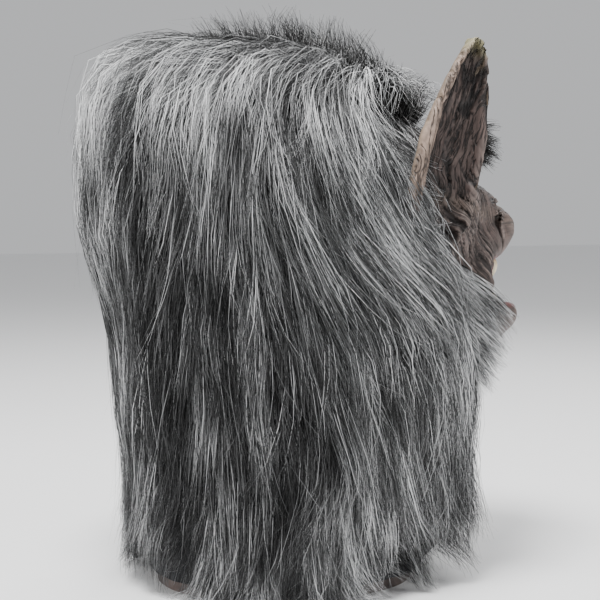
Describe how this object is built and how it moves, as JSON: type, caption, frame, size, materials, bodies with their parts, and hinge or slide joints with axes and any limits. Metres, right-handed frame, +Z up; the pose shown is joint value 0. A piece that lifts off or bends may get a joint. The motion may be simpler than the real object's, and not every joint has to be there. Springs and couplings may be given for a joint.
{
  "type": "wolf mask",
  "caption": "Overhead latex wolf mask with a hood of long grey pile fur, upright cupped ears and an open snarling mouth that flexes at the jaw.",
  "frame": {"origin": "centre of the neck opening, on the plane of the neck rim", "axes": "+Z up, the face looks along -Y, the wearer's right is -X"},
  "size_m": [0.25, 0.3294, 0.3854],
  "materials": {
    "latex_skin": "matte",
    "latex_gum": "satin",
    "latex_teeth": "satin",
    "latex_tongue": "satin",
    "grey_fur": "matte",
    "pale_fur": "matte",
    "dark_fur": "matte"
  },
  "bodies": {
    "head": {"head_shell": "latex_skin", "upper_gum": "latex_gum", "upper_teeth": "latex_teeth", "crown_fur": "grey_fur", "back_fur": "grey_fur", "right_side_fur": "grey_fur", "left_side_fur": "grey_fur", "throat_fur": "pale_fur", "right_cheek_fur": "pale_fur", "left_cheek_fur": "pale_fur", "forelock": "dark_fur", "right_brow_fur": "dark_fur", "left_brow_fur": "dark_fur"},
    "jaw": {"jaw_shell": "latex_skin", "lower_gum": "latex_gum", "lower_teeth": "latex_teeth", "tongue": "latex_tongue", "chin_fur": "pale_fur"},
    "right_ear": {"right_ear": "latex_skin"},
    "left_ear": {"left_ear": "latex_skin"}
  },
  "joints": [
    {"name": "jaw_flex", "type": "hinge", "parent": "head", "child": "jaw", "pos_m": [0, -0.02, 0.215], "axis": [1, 0, 0], "range_deg": [-2.5, 7], "stiffness_Nm_per_rad": 1.5},
    {"name": "right_ear_flex", "type": "hinge", "parent": "head", "child": "right_ear", "pos_m": [-0.089, -0.0676, 0.2547], "axis": [0, -1, 0], "range_deg": [-15, 20], "stiffness_Nm_per_rad": 0.4},
    {"name": "left_ear_flex", "type": "hinge", "parent": "head", "child": "left_ear", "pos_m": [0.089, -0.0676, 0.2547], "axis": [0, 1, 0], "range_deg": [-15, 20], "stiffness_Nm_per_rad": 0.4}
  ]
}
